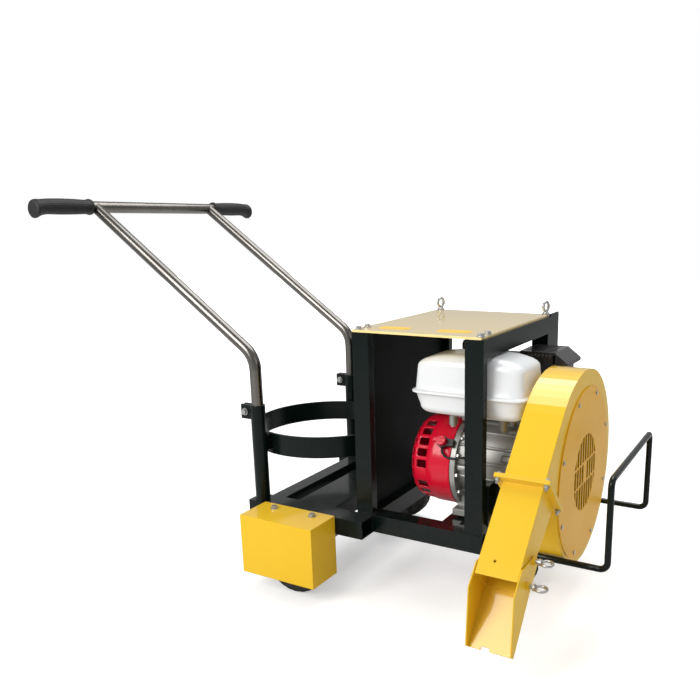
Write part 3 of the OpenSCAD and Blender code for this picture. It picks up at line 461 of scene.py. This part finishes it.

# ---- Fan housing, chute and scoop ----
# A spiral case of rolled and welded sheet with a screwed front cover, a square outlet chute bolted to it by a
# flange, and an open scoop that slides on the chute. All in the same yellow powder coat; the front cover's copy
# of it is darker and more orange, as painted shade on that forward face.
give(yellow_paint, "volute_shell", "chute", "scoop")
# The front cover is the yellow paint made darker and more orange: painted shade for its forward face, which the
# key light misses.
cover_paint_painted_shade = finish("cover_paint_painted_shade", shade(240, 184, 40), shade(233, 172, 28), worn=shade(206, 180, 120),
                     wear=0.42, rough=0.34, spread=0.10, grain=0.00003, fine=420.0, dust=0.05, edge=0.0022,
                     specular=0.14)
give(cover_paint_painted_shade, "fan_cover")
impeller_cast = finish("impeller_cast", shade(26, 26, 27), shade(15, 15, 16), rough=0.6, spread=0.2, metal=0.3,
                       grain=0.0001, dust=0.1)
give(impeller_cast, "impeller")

# ---- Handle ----
# Two legs and a crossbar of thin stainless tube, ground with a belt so that fine lines run round it, with a
# moulded rubber grip pushed onto each end of the crossbar.


def make_belt_lines():
    """Fine lines left by a polishing belt: noise squeezed hard along the direction of the belt."""
    tree, given, out = effect("belt_lines", {"Fineness": 700.0}, {"Lines": "Float"})
    place = tree.nodes.new("ShaderNodeTexCoord")
    squeeze = node(tree, "ShaderNodeVectorMath", operation="MULTIPLY")
    squeeze.inputs[1].default_value = (0.03, 1.0, 1.0)
    tree.links.new(place.outputs["Object"], squeeze.inputs[0])
    lines = node(tree, "ShaderNodeTexNoise", Detail=3.0, Roughness=0.7)
    tree.links.new(squeeze.outputs[0], lines.inputs["Vector"])
    tree.links.new(given.outputs["Fineness"], lines.inputs["Scale"])
    tree.links.new(lines.outputs[0], out.inputs["Lines"])
    return tree


def stainless():
    """Ground stainless tube: bright metal whose roughness and height follow the belt lines."""
    material = bpy.data.materials.new("ground_stainless")
    material.use_nodes = True
    tree = material.node_tree
    surface = tree.nodes["Principled BSDF"]
    lines = placed(tree, make_belt_lines(), Fineness=700.0)
    clouds = placed(tree, mottle, Scale=14.0, Fine_Scale=90.0)
    tone = blended(tree, clouds.outputs["Broad"], shade(128, 126, 123), shade(101, 97, 92))
    tree.links.new(tone, surface.inputs["Base Color"])
    dull = arithmetic(tree, "ADD", 0.22, arithmetic(tree, "MULTIPLY", lines.outputs["Lines"], 0.08))
    tree.links.new(dull, surface.inputs["Roughness"])
    surface.inputs["Metallic"].default_value = 1.0
    relief = node(tree, "ShaderNodeBump", Distance=0.000004, Strength=1.0)
    tree.links.new(lines.outputs["Lines"], relief.inputs["Height"])
    tree.links.new(relief.outputs["Normal"], surface.inputs["Normal"])
    return material


give(stainless(), "handle_bar")
grip_rubber = finish("grip_rubber", shade(30, 30, 31), shade(20, 20, 21), rough=0.58, spread=0.1, dust=0.0,
                     grain=0.00012, fine=900.0, edge=0.0008, specular=0.4)


def grip(node_name, outward):
    """A grip turned about the crossbar: a collar, a waisted barrel with shallow flutes, a flared stop and a
    rounded end that droops a little. Its radius is read off a smooth profile and dips in each flute."""
    lo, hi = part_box(node_name)
    centre, length = (lo + hi) / 2, hi.y - lo.y
    start, end_radius = (lo.y if outward > 0 else hi.y), (hi.z - lo.z) / 2
    share = np.array([0, 0.004, 0.02, 0.045, 0.06, 0.10, 0.30, 0.55, 0.78, 0.88, 0.93, 0.965, 0.985, 0.996,
                      1.0])
    width = np.array([0.72, 0.86, 0.90, 0.90, 0.83, 0.80, 0.86, 0.88, 0.84, 0.86, 0.95, 1.0, 0.97, 0.86, 0.68])
    fine = np.concatenate([np.linspace(0, 0.06, 18), np.linspace(0.065, 0.9, 50), np.linspace(0.905, 1, 26)])
    radius = end_radius * np.interp(fine, share, width)
    turn = np.linspace(0, 2 * math.pi, 96, endpoint=False)
    barrel = np.clip((fine - 0.10) / 0.03, 0, 1) * np.clip((0.86 - fine) / 0.03, 0, 1)
    flute = 0.00055 * barrel[:, None] * (0.5 + 0.5 * np.cos(turn * 24)) ** 2
    reach = radius[:, None] - flute
    along = start + outward * length * fine[:, None]
    droop = 0.007 * np.clip((fine[:, None] - 0.72) / 0.28, 0, 1) ** 2
    return skin(np.stack([centre.x + reach * np.cos(turn), np.broadcast_to(along, reach.shape),
                          centre.z - droop + reach * np.sin(turn)], -1))


piece("near_grip_moulding", [grip("near_grip", -1)], grip_rubber, "handle", ("near_grip",))
piece("far_grip_moulding", [grip("far_grip", 1)], grip_rubber, "handle", ("far_grip",))

# ---- Engine block ----
# A small air-cooled petrol engine: crankcase, cylinder and head are die-cast aluminium with a sand-blasted
# skin, and the steel exhaust sits behind a black pressed shield.
cast_alloy = finish("cast_alloy", shade(178, 178, 174), shade(142, 143, 140), worn=shade(214, 214, 210),
                    wear=0.5, rough=0.46, spread=0.18, metal=0.65, grain=0.00018, fine=380.0, dust=0.35,
                     edge=0.002)
give(cast_alloy, "crankcase", "fan_adapter", "cylinder", "valve_cover", "tank_bosses", "carburettor")
dark_steel = finish("dark_steel", shade(30, 31, 32), shade(20, 20, 21), worn=shade(110, 108, 104), wear=0.4,
                    rough=0.36, spread=0.14, metal=0.2, grain=0.0001, dust=0.1, edge=0.0015, top_gloss=0.8)
give(dark_steel, "muffler_shield")
muffler_steel = finish("muffler_steel", shade(126, 118, 106), shade(92, 80, 68), rough=0.55, spread=0.2,
                       metal=0.7, grain=0.0001, dust=0.1)
give(muffler_steel, "muffler")

# ---- Recoil starter and cooling shroud ----
# A deep-drawn steel bell in crimson enamel over the flywheel fan, with a ring of slots in its rear face and
# another round its shoulder. The stop switch sits on its near side.
engine_red = finish("engine_red", shade(222, 20, 52), shade(206, 12, 44), worn=shade(150, 60, 70), wear=0.3,
                    rough=0.24, spread=0.1, grain=0.00003, fine=400.0, dust=0.04, top_gloss=0.5, edge=0.002,
                    specular=0.3)
give(engine_red, "switch_knob")
bell_lo, bell_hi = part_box("blower_housing")
DRUM_R, SHEET = 0.104, 0.0016
BELL_SIDES, SLOT_PITCH, SLOT_WALL = 216, 9, 2
drum_y, drum_z = bell_lo.y + DRUM_R, bell_lo.z + DRUM_R


def bell():
    """The drawn bell, turned about the shaft: a dished hub, a flat rear face, a rounded shoulder, a slightly
    flared drum with a raised step and a rolled rim. Cells of the grid are left out to make the two rings of
    slots, and the sheet is thickened inwards afterwards."""
    bend = np.linspace(0, math.pi / 2, 7)
    rear = bell_lo.x
    along = np.concatenate([[0.007, 0.007, 0.003, 0.003, 0.0005], np.linspace(0.0003, 0, 3),
                            0.020 * (1 - np.cos(bend)), [0.025, 0.031, 0.037, 0.043, 0.046, 0.048],
                            np.linspace(0.060, 0.096, 4), [0.099, 0.1005, 0.1022]])
    radius = np.concatenate([[0.004, 0.020, 0.025, 0.048, 0.052], np.linspace(0.060, 0.078, 3),
                             0.079 + 0.018 * np.sin(bend), [0.0974, 0.0978, 0.0982, 0.0986, 0.0990, 0.1004],
                             np.linspace(0.1010, 0.1016, 4), [0.1022, 0.1038, 0.1040]])
    turn = np.linspace(0, 2 * math.pi, BELL_SIDES, endpoint=False)
    rings = np.stack([np.broadcast_to((rear + along)[:, None], (len(along), BELL_SIDES)),
                      drum_y + radius[:, None] * np.cos(turn), drum_z + radius[:, None] * np.sin(turn)], -1)
    points, faces = skin(rings)
    i, j = np.divmod(np.arange((len(along) - 1) * BELL_SIDES), BELL_SIDES)
    middle = (along[i] + along[np.minimum(i + 1, len(along) - 1)]) / 2
    open_cell = j % SLOT_PITCH > SLOT_WALL
    shoulder = (i >= 9) & (i <= 11) & open_cell
    window = (middle > 0.021) & (middle < 0.043) & open_cell & (j % (6 * SLOT_PITCH) > 8)
    keep = ~(shoulder | window)
    return points, [face for face, kept in zip(faces[:len(keep)], keep) if kept] + [faces[-2]]


def thickened(made, thickness):
    """Gives a sheet piece its wall, inwards from its outer face."""
    wall = made.modifiers.new("wall", "SOLIDIFY")
    wall.thickness, wall.offset = thickness, -1
    return made


def rounded_box(lo, hi, radius, steps=5):
    """A box with rounded upright edges and softened top and bottom: a rounded-rectangle plan is stacked, and is
    drawn in over the last radius of height by a quarter circle."""
    bend = np.linspace(0, math.pi / 2, steps)
    quarter = np.concatenate([bend + k * math.pi / 2 for k in range(4)])
    corner = np.repeat(np.array([(1, 1), (-1, 1), (-1, -1), (1, -1)]), steps, axis=0)
    lo, hi = np.asarray(lo, float), np.asarray(hi, float)
    half, middle = (hi - lo)[:2] / 2, (hi + lo)[:2] / 2
    small = radius * 0.6
    draw = np.concatenate([small * (1 - np.sin(bend)), small * (1 - np.sin(bend[::-1]))])
    level = np.concatenate([lo[2] + small * (1 - np.cos(bend)), hi[2] - small * (1 - np.cos(bend[::-1]))])
    across = np.stack([np.cos(quarter), np.sin(quarter)], -1)
    plan = middle + corner * (half - radius) + (radius - draw[:, None, None]) * across
    return skin(np.concatenate([plan, np.broadcast_to(level[:, None, None], (*plan.shape[:2], 1))], -1))


thickened(piece("starter_bell", [bell()], engine_red, "chassis", ("blower_housing",)), SHEET)
duct_x0 = bell_lo.x + 0.050
piece("cooling_duct", [rounded_box((duct_x0, drum_y + 0.052, drum_z - 0.008), (bell_hi.x, bell_hi.y, bell_hi.z),
                                   0.012)], engine_red, "chassis", ("blower_housing",))
pulley_pin = np.array([(bell_lo.x + 0.0115, drum_y, drum_z), (bell_lo.x + 0.0045, drum_y, drum_z)])
piece("starter_hub_bolt", [skin(ring_path(np.linspace(*pulley_pin, 4), 0.009, 6, (0, 0, 1)))], zinc_plate,
      "chassis")

# ---- Ribs and bolts of the crankcase ----
# Stiffening ribs cast along the round crankcase and along the arms under it, and the plated hexagon bolts
# that hold the starter bell's rim to it.
case_lo, case_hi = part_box("crankcase")
SHAFT_RISE, CASE_R, RIM_T = 0.012, 0.088, 0.012
shaft_z = drum_z + SHAFT_RISE


def rib(angle, start, end, height, half_width):
    """A drafted rib along the crankcase: a rounded trapezium stands on the case at an angle up from the near
    side, and sinks into it over the last few millimetres at each end."""
    along = np.linspace(0, 1, 16)
    rise = height * np.sqrt(np.clip(np.minimum(along, 1 - along) * (end - start) / 0.008, 0.02, 1))
    side = half_width * np.array([-1.25, -1.0, -0.8, -0.35, 0.35, 0.8, 1.0, 1.25])
    lift = np.array([0.0, 0.35, 0.85, 1.0, 1.0, 0.85, 0.35, 0.0])
    reach = CASE_R - 0.003 + (rise[:, None] + 0.003) * lift
    c, s = math.cos(angle), math.sin(angle)
    x = np.broadcast_to((start + along * (end - start))[:, None], reach.shape)
    return skin(np.stack([x, drum_y - reach * c - side * s, shaft_z + reach * s - side * c], -1))


def hex_head(x, angle, radius, size, height):
    """A hexagon head on a washer, facing forward: stacked rings of six and of 24 sides with a broken edge."""
    y, z = drum_y - radius * math.cos(angle), drum_z + radius * math.sin(angle)
    washer = np.array([(x - 0.0005, y, z), (x + 0.0004, y, z), (x + 0.0012, y, z)])
    head = np.array([(x + 0.0010, y, z), (x + height * 0.4, y, z), (x + height * 0.85, y, z),
                     (x + height, y, z)])
    return [skin(ring_path(washer, size * np.array([0.74, 0.74, 0.70]), 24, (0, 0, 1))),
            skin(ring_path(head, size * np.array([0.58, 0.58, 0.58, 0.48]), 6, (0, 0, 1)))]


rib_start, rib_end = case_lo.x + RIM_T - 0.001, case_hi.x - 0.016
rim_boss, front_boss = rib_start + 0.040, rib_end - 0.034
casting = [rib(math.radians(a), rib_start, rib_end, 0.006, 0.0035) for a in (-78, -62, -12, 10, 32, 54, 76)]
casting += [rib(math.radians(a), rib_start, rim_boss, 0.011, 0.007) for a in (-48, 0, 44, 66)]
casting += [rib(math.radians(a), front_boss, rib_end, 0.010, 0.007) for a in (-70, -22, 20, 60)]
piece("crankcase_ribs", casting, cast_alloy, "chassis")
BOLT_CIRCLE, BOLT_SIZE, BOLT_HEAD = 0.0965, 0.010, 0.006
rim_bolts = [head for a in (-84, -58, -30, -4, 22, 46) for head in
             hex_head(case_lo.x + RIM_T, math.radians(a), BOLT_CIRCLE, BOLT_SIZE, BOLT_HEAD)]
piece("rim_bolts", rim_bolts, zinc_plate, "chassis")

# ---- Stop-switch lead ----
# A rubber-covered earthing wire. It drops out of the switch on the starter bell, passes over the crankcase rim
# and runs into the side of the crankcase.
LEAD_D = 0.005
# Points of the lead: along from the rear face of the crankcase and across from the shaft, and up from the floor
stops = np.array([(-21, -93, 338), (-21, -95.5, 333), (-19.5, -98.5, 327.5), (-15, -101.5, 322),
                  (-8, -104, 318.5), (0, -105.3, 317), (9, -105.2, 317), (19, -103.5, 318),
                  (29, -100.3, 319.5), (38, -96, 321), (46, -90.5, 322.5), (53, -84, 324),
                  (59, -76, 325)]) / 1000 + (case_lo.x, drum_y, 0)


def smooth_route(points, count):
    """A Catmull-Rom curve: between two points it follows the cubic set by the neighbours on either side."""
    padded_points = np.concatenate([2 * points[:1] - points[1:2], points, 2 * points[-1:] - points[-2:-1]])
    t = np.linspace(0, len(points) - 1 - 1e-9, count)
    k, u = np.floor(t).astype(int), (t % 1)[:, None]
    a, b, c, d = (padded_points[k + step] for step in range(4))
    return 0.5 * (2 * b + (c - a) * u + (2 * a - 5 * b + 4 * c - d) * u ** 2 + (3 * b - a - 3 * c + d) * u ** 3)


route = smooth_route(stops, 40)
lead_rubber = finish("lead_rubber", shade(26, 26, 27), shade(16, 16, 17), rough=0.5, spread=0.1, dust=0.05,
                     grain=0.00004, fine=900.0, edge=0.0004, specular=0.4)
lead = piece("switch_lead", [skin(ring_path(route, LEAD_D / 2, 16, (0.1, 0.3, 1)))], lead_rubber, "chassis")

# ---- Fuel tank ----
# Two pressings of white enamelled steel, crimped together at a flange that runs round the middle, with a
# screwed filler cap.
tank_white = finish("tank_white", shade(238, 241, 243), shade(230, 233, 236), rough=0.22, spread=0.08,
                    grain=0.00003, fine=300.0, dust=0.05, top_gloss=0.6, edge=0.002)
TANK_SIDES, TANK_SQUARENESS = 160, 7.5


def tank():
    """Rings of a rounded rectangle, a superellipse, stacked up the tank. The margin by which each ring is drawn
    in gives the rounded floor, the drafted walls, the crimped flange and the domed shoulders."""
    lo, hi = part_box("fuel_tank")
    centre, half_x, half_y = (lo + hi) / 2, (hi.x - lo.x) / 2, (hi.y - lo.y) / 2
    seam = lo.z + 0.050
    curve = np.linspace(0, math.pi / 2, 9)
    low = [(0.034 - 0.020 * math.sin(t), lo.z + 0.020 * (1 - math.cos(t))) for t in curve]
    wall = [(0.011, lo.z + 0.030), (0.0075, seam - 0.0065), (0.0060, seam - 0.0040)]
    flange = [(0.0006, seam - 0.0024), (0.0, seam - 0.0012), (0.0, seam + 0.0012), (0.0006, seam + 0.0024),
              (0.0052, seam + 0.0040), (0.0066, seam + 0.0065)]
    over = [(0.0085, seam + 0.030)]
    dome = [(0.0105 + 0.030 * (1 - math.cos(t)), hi.z - 0.032 + 0.026 * math.sin(t)) for t in curve]
    crown = [(0.060, hi.z - 0.0030), (0.070, hi.z - 0.0008), (0.080, hi.z - 0.0001)]
    margin, level = np.array(low + wall + flange + over + dome + crown).T
    turn = np.linspace(0, 2 * math.pi, TANK_SIDES, endpoint=False)
    power = 2 / TANK_SQUARENESS
    c, s = np.cos(turn), np.sin(turn)
    slope = 1.9 * np.clip(margin - 0.0105, 0, 0.030) * (level > seam)
    x = (half_x - margin - slope)[:, None] * np.sign(c) * np.abs(c) ** power
    y = (half_y - margin)[:, None] * np.sign(s) * np.abs(s) ** power
    return skin(np.stack([centre.x + x, centre.y + y, np.broadcast_to(level[:, None], x.shape)], -1))


piece("tank_pressings", [tank()], tank_white, "chassis", ("fuel_tank",), sharp=50)

# ---- Black mouldings on the engine ----
# The air-cleaner box, starter grip, filler cap, plug cap, oil cap, levers and switch body are injection
# moulded in black plastic with a fine spark-eroded texture.
black_plastic = finish("black_plastic", shade(34, 34, 35), shade(24, 24, 25), rough=0.46, spread=0.12, dust=0.1,
                       grain=0.00008, fine=700.0, edge=0.001, specular=0.45)
give(black_plastic, "air_cleaner", "starter_grip", "fuel_cap", "spark_plug", "oil_cap", "choke_lever",
     "fuel_lever", "switch_body")
